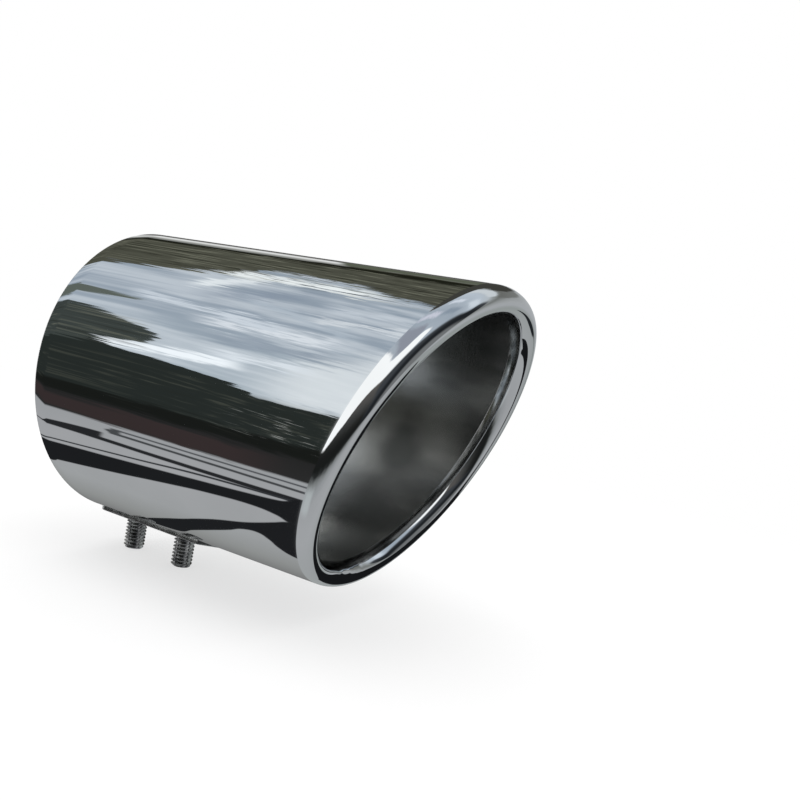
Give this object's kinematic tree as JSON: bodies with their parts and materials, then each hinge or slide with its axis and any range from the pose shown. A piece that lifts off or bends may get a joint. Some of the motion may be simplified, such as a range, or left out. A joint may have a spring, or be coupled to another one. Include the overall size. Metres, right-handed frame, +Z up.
{
  "type": "exhaust tip",
  "caption": "Slash-cut round stainless exhaust tip with a rolled-in lip, clamped on the tail pipe by set screws through a plate under its inlet.",
  "frame": {"origin": "on the tube's axis, in the plane of the square-cut inlet rim", "axes": "+X along the tube's axis and out of the mouth, +Z up towards the long side of the slash, the set screws pointing down along -Z"},
  "size_m": [0.1133, 0.08, 0.0909],
  "materials": {
    "polished_shell": "mirror-polished stainless steel outside, dull drawn finish inside",
    "plate_steel": "plain stainless strip with a sheared edge",
    "screw_steel": "rolled stainless thread"
  },
  "bodies": {
    "root": {"outer_shell": "polished_shell", "clamp_plate": "plate_steel", "set_screw_rear": "screw_steel", "set_screw_front": "screw_steel"}
  },
  "joints": []
}
